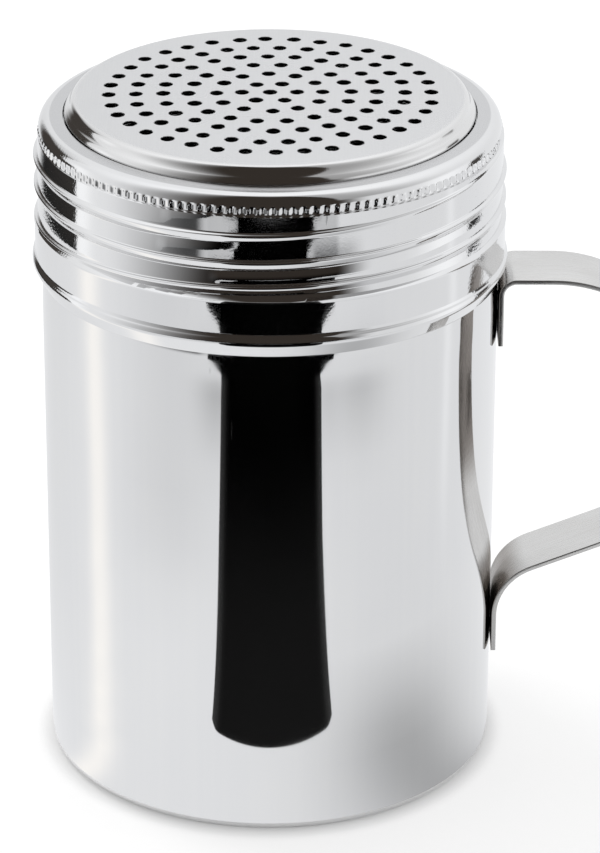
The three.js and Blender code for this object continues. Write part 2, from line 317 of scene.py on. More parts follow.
def hump(away, height):
    """Section of the ridge: a short round upper flank and a straight lower one, which runs on down."""
    if away > 0:
        return height * (0.5 + 0.5 * math.cos(math.pi * min(1.0, away / UPPER_FLANK)))
    return height - LOWER_SLOPE * (math.hypot(away, CREST_ROUNDING) - CREST_ROUNDING)


def collar_strength(degrees):
    return 1 - smooth(degrees, COLLAR_END - COLLAR_FADE, COLLAR_END)


def cup_strength(degrees):
    rise = smooth(degrees, CUP_START, CUP_START + CUP_FADE)
    return rise * (1 - smooth(degrees, CUP_END - CUP_FADE, CUP_END))


def ridge(azimuth, z, crest, height, strength):
    """How far the ridge stands out, or below zero where its lower flank would run on into the wall."""
    degrees = math.degrees(azimuth)
    total = -1.0
    for turn in range(-2, 4):
        counted = degrees + 360 * turn
        away = z - crest(counted)
        if -LOWER_FLANK < away < UPPER_FLANK:
            total = max(total, hump(away, height * strength(counted)))
    return total


def groove(azimuth, z):
    """How far the collar's wall is drawn in below the ridge above it."""
    degrees = math.degrees(azimuth)
    for turn in range(-2, 5):
        counted = degrees + 360 * turn
        below = pressed_crest(counted) - z
        if 0 < below <= PITCH + 1:
            depth = along(GROOVE, counted)
            reach = SHALLOW_REACH if depth < SHALLOW_GROOVE else GROOVE_REACH
            start = (RIDGE + depth) / LOWER_SLOPE
            return depth * min(1.0, max(0.0, 1 - (below - start) / reach))
    return 0.0


def collar_outside(azimuth, z):
    land = LAND - groove(azimuth, z) * smooth(z, THREAD_BOTTOM - 0.1, THREAD_BOTTOM + 0.3)
    return max(land, LAND + ridge(azimuth, z, pressed_crest, RIDGE, collar_strength))


def collar_inside(azimuth, z):
    return LAND - SHEET + max(0.0, ridge(azimuth, z, pressed_crest, RIDGE, collar_strength))


def cup_outside(azimuth, z):
    return NECK_RADIUS + max(0.0, ridge(azimuth, z, even_crest, CUP_RIDGE, cup_strength))


def cup_inside(azimuth, z):
    return cup_outside(azimuth, z) - CUP_SHEET


def threaded(skin, radius, crest, bottom, top, outside):
    """A wall whose rows follow the thread, cut level at the bottom and at the top."""
    low = -LOWER_FLANK - FLANK_MARGIN
    high = UPPER_FLANK + FLANK_MARGIN
    flank = [low + (high - low) * i / FLANK_ROWS for i in range(FLANK_ROWS + 1)]
    lands = (0.15, 0.3, 0.5, 0.7, 0.85)
    rows = len(flank) + len(lands)
    near = 0.02

    def corner(column, row):
        degrees = 360 * column / SEGMENTS
        if row == rows:
            z = crest(degrees + 360) + low
        elif row < len(flank):
            z = crest(degrees) + flank[row]
        else:
            share = lands[row - len(flank)]
            z = (crest(degrees) + high) * (1 - share) + (crest(degrees + 360) + low) * share
        z = bottom if z < bottom + near else top if z > top - near else z
        a = TURN * (column % SEGMENTS) / SEGMENTS
        r = radius(a, z)
        return skin.point(r * math.cos(a), r * math.sin(a), z)

    def column_at(z):
        return math.floor(SEGMENTS * ((z - FRONT_CREST) / PITCH + FRONT / TURN))

    for column in range(column_at(bottom - 1.5 * PITCH), column_at(top + 1.5 * PITCH)):
        for row in range(rows):
            corners = [
                corner(column, row),
                corner(column + 1, row),
                corner(column + 1, row + 1),
                corner(column, row + 1),
            ]
            skin.face(*(corners if outside else corners[::-1]))


def close(skin, radius, height, up):
    centre = skin.point(0, 0, height)
    ring = skin.ring(radius, height)
    for i in range(len(ring)):
        pair = (ring[i], ring[(i + 1) % len(ring)])
        skin.face(centre, *(pair if up else pair[::-1]))


def leaning_wall():
    """Profile of the cup's outside from where it starts to lean in up to the collar."""
    profile = [(CUP_RADIUS, LEAN_BOTTOM)]
    while profile[-1][1] < CURL_BOTTOM:
        r, z = profile[-1]
        middle = z + LEAN_STEP / 2
        slope = LEAN * smooth(middle, LEAN_BOTTOM, LEAN_BOTTOM + LEAN_RUN)
        slope += NIP * smooth(middle, NIP_BOTTOM, CURL_BOTTOM)
        profile.append((r - LEAN_STEP * slope, z + LEAN_STEP))
    return profile


def make_cup():
    skin = Skin()
    low = CUP_THREAD_BOTTOM
    high = CUP_THREAD_TOP
    lean = leaning_wall()
    wall_top = lean[-1][0]
    centre = CUP_RADIUS - CORNER
    flat = centre * 0.97
    rim = MOUTH_RADIUS - CUP_SHEET / 2
    close(skin, flat, 0, False)
    skin.turned([(flat, 0)] + held(arc(centre, CORNER, CORNER, -90, 0) + lean + [
        (wall_top, NECK_BOTTOM - NECK_STEP),
        (NECK_RADIUS, NECK_BOTTOM),
        (NECK_RADIUS, low - 0.1),
    ]) + [(lambda a: cup_outside(a, low), low)])
    threaded(skin, cup_outside, even_crest, low, high, True)
    skin.turned([(lambda a: cup_outside(a, high), high)] + held([
        (NECK_RADIUS, high + 0.1), (NECK_RADIUS, NECK_TOP), (MOUTH_RADIUS, MOUTH_BOTTOM),
        *arc(rim, RIM - CUP_SHEET / 2, CUP_SHEET / 2, 0, 180, step=30),
        (MOUTH_RADIUS - CUP_SHEET, MOUTH_BOTTOM),
        (NECK_RADIUS - CUP_SHEET, NECK_TOP), (NECK_RADIUS - CUP_SHEET, high + 0.1),
    ]) + [(lambda a: cup_inside(a, high), high)])
    threaded(skin, cup_inside, even_crest, low, high, False)
    skin.turned([(lambda a: cup_inside(a, low), low)] + held([
        (NECK_RADIUS - CUP_SHEET, low - 0.1),
        (NECK_RADIUS - CUP_SHEET, NECK_BOTTOM),
        (wall_top - CUP_SHEET, NECK_BOTTOM - NECK_STEP),
        (CUP_RADIUS - CUP_SHEET, LEAN_BOTTOM),
        *arc(centre, CORNER, CORNER - CUP_SHEET, 0, -90),
    ]) + [(flat, CUP_SHEET)])
    close(skin, flat, CUP_SHEET, True)
    return skin


def shoulder(depth, inner):
    """Shoulder and shelf at a depth below the collar's outside, from outside inwards."""
    bend = arc(GRIP - SHOULDER_RADIUS, SHOULDER, SHOULDER_RADIUS - depth, 0, 90 - SHELF_SLOPE)
    r, z = bend[-1]
    return bend + [(inner, z + (r - inner) * math.tan(math.radians(SHELF_SLOPE)))]


def rib_radius(share):
    """Radius round the knurl at a height, where share is 1 in the ribs' middle and 0 at their ends.

    The ribs are a little uneven in place and depth.
    """
    def radius(a):
        count = a * RIBS
        lean = 0.35 * math.sin(7 * a) + 0.25 * math.sin(13 * a + 1)
        wave = 0.5 + 0.5 * math.cos(count + lean)
        uneven = 1 + 0.15 * math.sin(29 * a + 2) + 0.1 * math.sin(47 * a)
        return GRIP - RIB_FOOT + RIB_FOOT * (1 - share) + RIB_DEPTH * share * uneven * wave
    return radius


def make_collar():
    skin = Skin()
    # A round lip, a cone that widens upwards, and a round edge up to the band
    curl = ([(35.13, CURL_BOTTOM + 0.3), (35.09, CURL_BOTTOM), (35.13, CURL_BOTTOM - 0.17),
             (35.22, CURL_BOTTOM - 0.23), (35.32, CURL_BOTTOM - 0.15), (36.26, 82.2)]
            + arc(35.75, 82.72, 0.65, -26, 60, 0.95)[1:] + [(BAND, BAND_BOTTOM)])
    band_top = THREAD_BOTTOM - 0.4
    skin.turned(held(curl + [(BAND, band_top - 0.3), (BAND + 0.1, band_top)])
                + [(lambda a: collar_outside(a, THREAD_BOTTOM), THREAD_BOTTOM)])
    threaded(skin, collar_outside, pressed_crest, THREAD_BOTTOM, THREAD_TOP, True)
    fine = 8 * RIBS
    low = KNURL_ROWS[0]
    ribs = []
    for z in KNURL_ROWS:
        share = smooth(z, low, low + KNURL_LOWER_END)
        share *= 1 - smooth(z, KNURL_TOP - KNURL_UPPER_END, KNURL_TOP)
        ribs.append((rib_radius(share), z, fine))
    upper = shoulder(0, SHELF_RADIUS + 0.2)
    edge = upper[-1][1]
    skin.turned([(lambda a: collar_outside(a, THREAD_TOP), THREAD_TOP)] + ribs
                + held(upper[1:] + [(SHELF_RADIUS + 0.06, edge - 0.02), (SHELF_RADIUS, edge - 0.12),
                                    (SHELF_RADIUS, edge - 0.4)]
                       + shoulder(SHEET, SHELF_RADIUS + 0.1)[::-1]
                       + [(GRIP - SHEET, INSIDE_TOP + 0.3)])
                + [(lambda a: collar_inside(a, INSIDE_TOP), INSIDE_TOP)])
    threaded(skin, collar_inside, pressed_crest, THREAD_BOTTOM, INSIDE_TOP, False)
    skin.turned([(lambda a: collar_inside(a, THREAD_BOTTOM), THREAD_BOTTOM)] + held([
        (BAND - SHEET, band_top), (BAND - SHEET, CURL_BOTTOM + 0.6), curl[0]]))
    return skin


def plate_height(r):
    return PLATE_EDGE + CROWN * (1 - (r / PLATE_RADIUS) ** 2)


def hole_places():
    chance = random.Random(11)
    places = []
    for ring in range(HOLE_RINGS + 1):
        count = max(1, 6 * ring)
        for i in range(count):
            a = TURN * i / count + HOLES_TURNED
            x = ring * HOLE_PITCH * math.cos(a) + chance.uniform(-HOLE_STRAY, HOLE_STRAY)
            y = ring * HOLE_PITCH * math.sin(a) + chance.uniform(-HOLE_STRAY, HOLE_STRAY)
            places.append((x, y, HOLE_RADIUS * chance.uniform(HOLE_SMALLEST, HOLE_LARGEST)))
    return places


def add_plate(skin, places):
    """The plate's two faces round its holes, and the holes' walls."""
    flat = []
    edges = []

    def loop(cx, cy, radius, n):
        first = len(flat)
        for i in range(n):
            a = TURN * i / n
            flat.append(Vector((cx + radius * math.cos(a), cy + radius * math.sin(a))))
            edges.append((first + i, first + (i + 1) % n))

    for x, y, radius in places:
        loop(x, y, radius + HOLE_LIP, HOLE_SIDES)
        loop(x, y, radius + HOLE_GUARD, HOLE_SIDES)
    loop(0, 0, PLATE_RADIUS, SEGMENTS)
    for x, y, radius in places:
        for i in range(6):
            a = TURN * i / 6
            flat.append(Vector((x + AROUND_HOLE * math.cos(a), y + AROUND_HOLE * math.sin(a))))
    for ring in range(3):
        for i in range(NEAR_EDGE_COUNT):
            a = TURN * (i + 0.5 * ring) / NEAR_EDGE_COUNT
            flat.append((NEAR_EDGE + NEAR_EDGE_STEP * ring) * Vector((math.cos(a), math.sin(a))))
    found, _, faces, *_ = delaunay_2d_cdt(flat, edges, [], 0, 1e-6)
    for f in faces:
        corners = [found[i] for i in f]
        middle = sum(corners, Vector((0, 0))) / len(f)
        if middle.length > PLATE_RADIUS - 1e-4:
            continue
        if any((middle.x - x) ** 2 + (middle.y - y) ** 2 < r * r for x, y, r in places):
            continue
        if (corners[1] - corners[0]).cross(corners[2] - corners[0]) < 0:
            corners = corners[::-1]
        top = [skin.point(p.x, p.y, plate_height(p.length)) for p in corners]
        low = [skin.point(p.x, p.y, plate_height(p.length) - DISC_SHEET) for p in corners]
        skin.face(*top)
        skin.face(*low[::-1])
    edge = [(HOLE_LIP, 0), (0.03, 0.02), (0, HOLE_LIP)]
    wall = edge + [(out, DISC_SHEET - depth) for out, depth in edge[::-1]]
    for cx, cy, radius in places:
        rings = []
        for out, depth in wall:
            ring = []
            for i in range(HOLE_SIDES):
                a = TURN * i / HOLE_SIDES
                x = cx + (radius + out) * math.cos(a)
                y = cy + (radius + out) * math.sin(a)
                ring.append(skin.point(x, y, plate_height(math.hypot(x, y)) - depth))
            rings.append(ring)
        for first, second in zip(rings, rings[1:]):
            skin.join(second, first)


def make_disc():
    skin = Skin()
    add_plate(skin, hole_places())
    level = PLATE_EDGE - PLATE_ROUNDING
    lean = math.radians(EDGE_LEAN)
    reach = PLATE_ROUNDING + FLARE_RADIUS
    centre = (PLATE_RADIUS + reach * math.cos(lean), level + reach * math.sin(lean))
    start = 180 + EDGE_LEAN
    end = start + FLARE_TURN
    outside = (arc(PLATE_RADIUS, level, PLATE_ROUNDING, 90, EDGE_LEAN)
               + arc(*centre, FLARE_RADIUS, start, end)[1:]
               + [(31.02, 106.05), (31.11, 105.85), (DISC_FOOT, 105.7)])
    inside = (arc(PLATE_RADIUS, level, PLATE_ROUNDING - DISC_SHEET, 90, EDGE_LEAN)
              + arc(*centre, FLARE_RADIUS + DISC_SHEET, start, end)[1:])
    depth = SHEET + 0.3
    skin.turned(held(inside + shoulder(depth + DISC_SHEET, DISC_FOOT - DISC_SHEET)[::-1]
                     + shoulder(depth, DISC_FOOT) + outside[::-1]))
    return skin


def strap_line():
    """Middle line of the strip from the lower tab round to the upper one."""
    half = STRAP_SHEET / 2
    tab = TAB_INSIDE + half
    slope = math.radians(LOWER_ARM)
    lower = LOWER_BEND + half
    upper = UPPER_BEND + half
    arm = ARM_TOP - half
    nose = NOSE - half
    lower_top = HANDLE_FOOT + LOWER_TAB
    rise = (lower + (nose - tab - lower) * math.sin(slope)) / math.cos(slope)
    loop = (arm - LOOP_FLAT - lower_top - rise) / (1 + (1 - math.sin(slope)) / math.cos(slope))
    return held([
        (tab, HANDLE_FOOT),
        *arc(tab + lower, lower_top, lower, 180, 90 + LOWER_ARM, step=4),
        *arc(nose - loop, arm - loop - LOOP_FLAT, loop, LOWER_ARM - 90, 0, step=3),
        *arc(nose - loop, arm - loop, loop, 0, 90, step=3),
        *arc(tab + upper, arm - upper, upper, 90, 180, step=5),
        (tab, arm - upper - UPPER_TAB),
    ], 0.25)


def make_strap():
    skin = Skin()
    half = STRAP_SHEET / 2
    wide = STRAP_WIDTH / 2
    rounding = arc(half - STRAP_BEVEL, wide - STRAP_BEVEL, STRAP_BEVEL, 0, 90, step=30)
    section = []
    for sx, sy in ((1, -1), (1, 1), (-1, 1), (-1, -1)):
        corner = [(sx * x, sy * y) for x, y in rounding]
        section += corner if sx * sy > 0 else corner[::-1]
    line = strap_line()
    rings = []
    for i, (x, z) in enumerate(line):
        before = line[max(0, i - 1)]
        after = line[min(len(line) - 1, i + 1)]
        run = Vector((after[0] - before[0], after[1] - before[1])).normalized()
        out = Vector((run.y, -run.x))
        rings.append([skin.point(x + out.x * s, y, z + out.y * s) for s, y in section])
    for first, second in zip(rings, rings[1:]):
        skin.join(second, first)
    skin.face(*rings[0])
    skin.face(*rings[-1][::-1])
    return skin


def make_weld(height):
    skin = Skin()
    outside = TAB_INSIDE + 0.02
    rings = []
    for x, radius in ((WELD_ROOT, WELD_END_RADIUS), (WELD_ROOT + WELD_EDGE, WELD_RADIUS),
                      (outside - WELD_EDGE, WELD_RADIUS), (outside, WELD_END_RADIUS)):
        ring = []
        for i in range(WELD_SIDES):
            a = TURN * i / WELD_SIDES
            ring.append(skin.point(x, radius * math.cos(a), height + radius * math.sin(a)))
        rings.append(ring)
    for first, second in zip(rings, rings[1:]):
        skin.join(first, second)
    skin.face(*rings[0][::-1])
    skin.face(*rings[-1])
    return skin


# Materials: depths of bumps in millimetres, fineness of patterns in features per millimetre
WALL_GRAIN = 0.0003
COLLAR_GRAIN = 0.016
SCRATCH_DEPTH = 0.0003
BRUSHED_DEPTH = 0.002
SHELF_GREY = (0.62, 0.62, 0.625, 1)
SHELF_ROUGHNESS = 0.2
EDGE_STEEL = (0.79, 0.785, 0.78, 1)
EDGE_ROUGHNESS = 0.09
# Painted shade on the walls of the disc's holes
HOLE_WALL_SHADE = (0.05, 0.05, 0.05, 1)
# Painted brown shade inside the strap's loop, on faces that turn towards the cup and down
LOOP_INSIDE_SHADE = (0.32, 0.292, 0.268, 1)


class Shading:
    """Small helper round one material's node tree."""

    def __init__(self, name, colour, roughness, metallic=1.0):
        self.material = bpy.data.materials.new(name)
        self.material.use_nodes = True
        self.tree = self.material.node_tree
        self.shader = self.tree.nodes["Principled BSDF"]
        self.shader.inputs["Base Color"].default_value = (*colour, 1)
        self.shader.inputs["Metallic"].default_value = metallic
        self.shader.inputs["Roughness"].default_value = roughness
        coordinates = self.tree.nodes.new("ShaderNodeTexCoord")
        self.place = coordinates.outputs["Object"]
        self.facing = coordinates.outputs["Normal"]

    def node(self, kind, inputs=None, **settings):
        node = self.tree.nodes.new(kind)
        for key, value in settings.items():
            setattr(node, key, value)
        for key, value in (inputs or {}).items():
            if isinstance(value, bpy.types.NodeSocket):
                self.tree.links.new(value, node.inputs[key])
            else:
                node.inputs[key].default_value = value
        return node

    def noise(self, per_mm, detail=2.0, roughness=0.5, offset=0.0):
        """Noise with its own fineness, in features per millimetre, along X, Y and Z."""
        scale = [value / MM for value in per_mm]
        mapping = self.node("ShaderNodeMapping", {"Vector": self.place, "Scale": scale,
                                                  "Location": (offset, offset, offset)})
        return self.node("ShaderNodeTexNoise", {
            "Vector": mapping.outputs[0], "Scale": 1.0, "Detail": detail, "Roughness": roughness,
        }).outputs["Fac"]

    def remap(self, value, low, high, to_low, to_high):
        return self.node("ShaderNodeMapRange", {
            "Value": value, "From Min": low, "From Max": high, "To Min": to_low, "To Max": to_high,
        }, interpolation_type="SMOOTHSTEP").outputs["Result"]

    def math(self, operation, first, second):
        return self.node("ShaderNodeMath", {0: first, 1: second}, operation=operation).outputs[0]

    def mix(self, share, first, second):
        return self.node("ShaderNodeMix", {0: share, 6: first, 7: second}, data_type="RGBA").outputs[2]

    def bump(self, height, depth_mm, under=None):
        inputs = {"Height": height, "Distance": depth_mm * MM, "Strength": 1.0}
        if under is not None:
            inputs["Normal"] = under
        return self.node("ShaderNodeBump", inputs).outputs["Normal"]

    def radius(self):
        """Distance from the object's axis."""
        flat = self.node("ShaderNodeVectorMath", {0: self.place, 1: (1, 1, 0)}, operation="MULTIPLY")
        length = self.node("ShaderNodeVectorMath", {0: flat.outputs[0]}, operation="LENGTH")
        return length.outputs["Value"]

    def blend(self, share, first, second):
        return self.node("ShaderNodeMix", {0: share, 2: first, 3: second}, data_type="FLOAT").outputs[0]

    def use(self, **sockets):
        names = {"colour": "Base Color", "roughness": "Roughness", "normal": "Normal"}
        for key, value in sockets.items():
            self.tree.links.new(value, self.shader.inputs[names[key]])
        return self.material


def polished_steel(name, grain):
    """Mirror polish: draw lines round the axis, tiny scratches, and a grain that is faint in front.

    Nearer the axis, on the collar's shelf and on the cup's flat bottom, it turns to satin.
    """
    look = Shading(name, (0.8, 0.8, 0.8), 0.05)
    lines = look.noise((0.7, 0.7, 0.01), 2.0)
    clouds = look.noise((0.05, 0.05, 0.04), 2.0)
    scratch = look.remap(look.noise((1.6, 1.6, 0.2), 1.0, offset=3.0), 0.76, 0.8, 0, 1)
    tone = look.math("ADD", look.remap(lines, 0.3, 0.7, 0.0, 0.25), look.remap(clouds, 0.3, 0.7, 0.0, 0.5))
    colour = look.mix(tone, (0.79, 0.79, 0.795, 1), (0.82, 0.817, 0.813, 1))
    rough = look.math("ADD", look.remap(clouds, 0.3, 0.7, 0.03, 0.05),
                      look.math("MULTIPLY", scratch, 0.08))
    parts = look.node("ShaderNodeSeparateXYZ", {0: look.place})
    where = look.remap(parts.outputs[1], -24 * MM, -17 * MM, 0.06, 1)
    speckle = look.math("MULTIPLY", look.noise((2.6, 2.6, 2.6), 2.0), where)
    peel = look.bump(speckle, grain)
    normal = look.bump(scratch, SCRATCH_DEPTH, peel)
    shelf = look.remap(look.radius(), 33.2 * MM, 33.5 * MM, 1, 0)
    colour = look.mix(shelf, colour, SHELF_GREY)
    rough = look.blend(shelf, rough, SHELF_ROUGHNESS)
    return look.use(colour=colour, roughness=rough, normal=normal)


def disc_steel():
    """Satin plate with grain along Y and painted shade on the hole walls, and a brighter polished edge and
    wall.
    """
    look = Shading("disc_steel", (0.72, 0.72, 0.72), 0.3)
    edge = look.remap(look.radius(), 29.1 * MM, 29.7 * MM, 0, 1)
    lines = look.noise((5.0, 0.12, 1.0), 3.0)
    clouds = look.noise((0.08, 0.08, 0.08), 2.0)
    tone = look.math("ADD", look.remap(lines, 0.3, 0.7, 0.0, 0.5), look.remap(clouds, 0.3, 0.7, 0.0, 0.5))
    satin = look.mix(tone, (0.69, 0.69, 0.695, 1), (0.73, 0.73, 0.73, 1))
    # Where the normal is far from upright, on the hole walls, the colour is painted shade
    upright = look.math("ABSOLUTE", look.node("ShaderNodeSeparateXYZ", {0: look.facing}).outputs[2], 0)
    satin = look.mix(look.remap(upright, 0.5, 0.85, 0, 1), HOLE_WALL_SHADE, satin)
    colour = look.mix(edge, satin, EDGE_STEEL)
    rough_plate = look.remap(clouds, 0.3, 0.7, 0.26, 0.34)
    rough = look.blend(edge, rough_plate, EDGE_ROUGHNESS)
    fine = look.bump(look.noise((6.0, 0.25, 2.0), 2.0), 0.0012)
    normal = look.bump(look.noise((4.0, 4.0, 4.0), 2.0), 0.0022, fine)
    return look.use(colour=colour, roughness=rough, normal=normal)


def satin_steel():
    """Strip brushed along its length, a little darker in patches, with painted brown shade on the faces
    inside the loop.
    """
    look = Shading("satin_steel", (0.7, 0.69, 0.67), 0.28)
    lines = look.noise((0.1, 6.0, 0.1), 3.0)
    clouds = look.noise((0.12, 0.2, 0.12), 2.0)
    tone = look.math("ADD", look.remap(lines, 0.3, 0.7, 0.0, 0.6), look.remap(clouds, 0.3, 0.7, 0.0, 0.4))
    colour = look.mix(tone, (0.66, 0.65, 0.635, 1), (0.75, 0.745, 0.735, 1))
    # Faces turned towards the cup and down, inside the loop, get painted brown shade
    facing = look.node("ShaderNodeVectorMath", {0: look.facing, 1: (-1, 0, -0.35)}, operation="DOT_PRODUCT")
    inner = look.remap(facing.outputs["Value"], 0.1, 0.6, 0, 1)
    colour = look.mix(inner, colour, LOOP_INSIDE_SHADE)
    rough = look.remap(lines, 0.3, 0.7, 0.22, 0.34)
    normal = look.bump(lines, BRUSHED_DEPTH)
    return look.use(colour=colour, roughness=rough, normal=normal)


def weld_metal():
    look = Shading("weld_metal", (0.4, 0.39, 0.37), 0.5)
    spots = look.noise((3.0, 3.0, 3.0), 3.0)
    colour = look.mix(spots, (0.3, 0.285, 0.27, 1), (0.5, 0.49, 0.47, 1))
    return look.use(colour=colour, normal=look.bump(spots, 0.01))


# Surroundings: a white sweep, and what the polished metal mirrors round it, painted as glow on cards that
# only mirrored rays see: painted reflections. Directions there are degrees from the front, positive towards
# the handle's side; a climb is degrees above the tent's foot.
FLOOR_REACH = 300.0
FLOOR_SIZE = 6000.0
FLOOR_LEVEL = -0.02
GLOW_LEVEL = 0.02
SHEET_LEVEL = 0.04
FLOOR_WHITE = (0.98, 0.98, 0.98)
# How the camera sees the floor: share of its own colour, and glow, which is less under the foot and so
# paints a contact shadow there
FLOOR_SHARE = 0.5
FLOOR_LIFT = 0.56
CONTACT_LIFT = 0.3
CONTACT_NEAR = 34.0
CONTACT_FAR = 38.0
WORLD_STRENGTH = 0.88
# The lamp's place and size are in metres, its power in watts
LAMP_PLACE = Vector((-0.45, 0.35, 0.8))
LAMP_SIZE = 0.35
LAMP_POWER = 2.2

# Brightness of the white surroundings
ROUND_LIGHT = 0.93
# Painted lighter and darker patches of them, seen in reflections: direction, half width, how much brighter
# or darker
ROUND_DIPS = [(-138, 34, 0.09), (60, 55, 0.09)]
TENT_LIGHTS = [(88, 16, 0.25), (-97, 7, 0.2)]
FLOOR_DIPS = [(42, 14, 0.22), (26, 5, 0.12), (-23, 10, 0.3)]
FLOOR_DIP_RADIUS = 198.0
FLOOR_DIP_WIDTH = 24.0
# Tints: the white of tent and floor, the warm stripe, the brown of the painted dark room beyond the tent
TENT_WHITE = (0.985, 0.995, 1.01)
FLOOR_COOL = (0.985, 0.995, 1.012)
STRIPE_WARM = (1.02, 1.0, 0.97)
ROOM_BROWN = (1.15 * 0.035, 0.95 * 0.035, 0.8 * 0.035)
TENT_CLIMBS = [0, 1, 2, 4, 6, 8, 10, 12, 14, 16, 18, 20, 22, 24, 28, 32, 38, 45, 55, 65, 75, 80, 84,
               88, 89.9]
FLOOR_RADII = [36, 40, 46, 54, 62, 75, 90, 110, 130, 150, 165, 180, 195, 210, 230, 238,
               246, 250, 254, 258, 260, 262, 265, 275, 284, FLOOR_REACH]
SHEET_NEAR = 61.5
SHEET_FAR = FLOOR_REACH + 0.5
SHEET_ROWS = 116
# Half angles of the black opening in front, by distance from the axis: millimetres, degrees
SHEET_LEFT = [(66, 22), (130, 22.2), (205, 21.8), (222, 21.8), (226, 21.8), (229, 22.5), (232, 24.2),
              (235, 26.4), (238, 28.3), (258, 28.3), (261, 26), (264, 16), (274, 16), (278, 19), (280, 15),
              (283, 13.5), (286, 15), (289, 21)]
SHEET_RIGHT = [(66, 24.5), (130, 23.6), (202, 23.8), (222, 23.4), (226, 23.3), (229, 24), (232, 25.6),
               (235, 27.6), (238, 29.6), (258, 30), (261, 27), (264, 16), (274, 20), (278, 22), (280, 20.5),
               (283, 19.5), (286, 20.5), (289, 24)]
# Where a straight upright stripe of the wall is mirrored: distance from the axis, degrees
STRIPE = [(44, -61), (50, -67), (68, -76), (106, -84), (175, -90), (224, -92)]


def bump_at(angle, centre, width):
    away = (angle - centre + 180) % 360 - 180
    return math.exp(-(away / width) ** 2)


def patches(angle, entries):
    return sum(strength * bump_at(angle, centre, width) for centre, width, strength in entries)


def between(value, start, start_done, end, end_done):
    """1 inside a range and 0 outside it, with a smooth change at either end."""
    return smooth(value, start, start_done) * (1 - smooth(value, end, end_done))


def glow(angle):
    """How bright the white surroundings are in a direction."""
    return ROUND_LIGHT - patches(angle, ROUND_DIPS)


def dark_room(angle, climb):
    """Painted dark of the room beyond the tent's open front, seen in reflections: it fades to the sides and
    overhead.
    """
    if angle < 0:
        shade = smooth(angle, -84, -24)
    else:
        low = 1 - smooth(angle, 30, 48)
        high = 1 - 0.42 * smooth(angle, 30, 33) - 0.58 * smooth(angle, 33, 100)
        shade = low + (high - low) * smooth(climb, 30, 38)
    return max(0.0, shade) * (1 - smooth(climb, 80, 92))


def dark_corner(angle, climb):
    """Painted dark patch on the tent at the back on the left, standing for a dark card; its front edge
    steps back as it rises.
    """
    start = 101 + 10 * smooth(climb, 12, 18)
    return 0.98 * between(-angle, start, start + 1, 138, 150) * (1 - smooth(climb, 38, 48))


def dark_strip(angle, climb):
    """Painted narrow dark patch on the tent at the back on the right, standing for a dark card."""
    return 0.96 * between(angle, 106, 107, 117, 119) * (1 - smooth(climb, 20, 30))


def tent_colour(angle, climb):
    """Colour of the tent, painted for reflections: white with painted brighter patches, and the painted
    dark room and cards in it.
    """
    level = glow(angle) + 0.2 * smooth(climb, 30, 80)
    level += patches(angle, TENT_LIGHTS) * (1 - smooth(climb, 25, 40))
    shade = max(dark_room(angle, climb), dark_corner(angle, climb), dark_strip(angle, climb))
    brown = smooth(climb, 0, 12)
    return tuple(level * (1 - shade) * white + brown * dark * shade
                 for white, dark in zip(TENT_WHITE, ROOM_BROWN))


def floor_colour(angle, radius):
    """Colour of the glowing floor, painted for reflections: soft painted dips, two painted bright stripes,
    a painted shadow of the object to the front on the handle's side, and dark patches far out in front.
    """
    level = glow(angle)
    level -= 0.13 * smooth(radius, 90, 150) * bump_at(angle, -46, 26)
    dip = math.exp(-((radius - FLOOR_DIP_RADIUS) / FLOOR_DIP_WIDTH) ** 2)
    level -= dip * patches(angle, FLOOR_DIPS)
    # Painted shadow of the object on the floor, to the front on the handle's side
    level -= 0.38 * bump_at(angle, 52, 28) * (1 - smooth(radius, 50, 95))
    stripe = along(STRIPE, radius, True)
    warm = bump_at(angle, stripe, 7)
    level += 0.2 * warm + 0.1 * smooth(radius, 90, 170) * bump_at(angle, 2 - stripe, 3)
    edge = smooth(radius, 246, 262)
    level -= edge * 0.75 * between(angle, -82, -34, -34, -28)
    level -= edge * 0.25 * between(angle, -32, -27, 30, 33)
    level -= 0.45 * between(radius, 260, 264, 270, 276) * between(angle, 18, 22, 34, 46)
    return tuple(level * (cool * (1 - warm) + hot * warm)
                 for cool, hot in zip(FLOOR_COOL, STRIPE_WARM))


def glowing(name):
    """Light of the colours painted on the mesh."""
    material = bpy.data.materials.new(name)
    material.use_nodes = True
    tree = material.node_tree
    tree.nodes.clear()
    output = tree.nodes.new("ShaderNodeOutputMaterial")
    light = tree.nodes.new("ShaderNodeEmission")
    painted = tree.nodes.new("ShaderNodeVertexColor")
    painted.layer_name = "glow"
    tree.links.new(painted.outputs[0], light.inputs[0])
    tree.links.new(light.outputs[0], output.inputs[0])
    return material


def arc_row(radius, height, angles):
    turns = [math.radians(a) for a in angles]
    return [(radius * math.sin(turn), -radius * math.cos(turn), height) for turn in turns]


def add_card(name, rows, colours, material):
    """A card that only mirrored rays see: rows of points, and their colours."""
    width = len(rows[0])
    faces = [(r * width + c, r * width + c + 1, (r + 1) * width + c + 1, (r + 1) * width + c)
             for r in range(len(rows) - 1) for c in range(width - 1)]
    card = add_object(name, [p for row in rows for p in row], faces, material)
    layer = card.data.color_attributes.new("glow", "FLOAT_COLOR", "POINT")
    for entry, colour in zip(layer.data, [c for row in colours for c in row]):
        entry.color = (*colour, 1)
    card.visible_camera = False
    card.visible_diffuse = False
    card.visible_transmission = False
    card.visible_shadow = False


def add_tent():
    """A glowing half globe, and the glowing floor inside it."""
    painted = glowing("tent_glow")
    angles = [-180 + 0.5 * i for i in range(721)]
    rows = []
    colours = []
    for climb in TENT_CLIMBS:
        up = math.radians(climb)
        rows.append(arc_row(FLOOR_REACH * math.cos(up), FLOOR_REACH * math.sin(up), angles))
        colours.append([tent_colour(a, climb) for a in angles])
    add_card("tent", rows, colours, painted)
    rows = [arc_row(r, GLOW_LEVEL, angles) for r in FLOOR_RADII]
    colours = [[floor_colour(a, r) for a in angles] for r in FLOOR_RADII]
    add_card("floor_glow", rows, colours, painted)


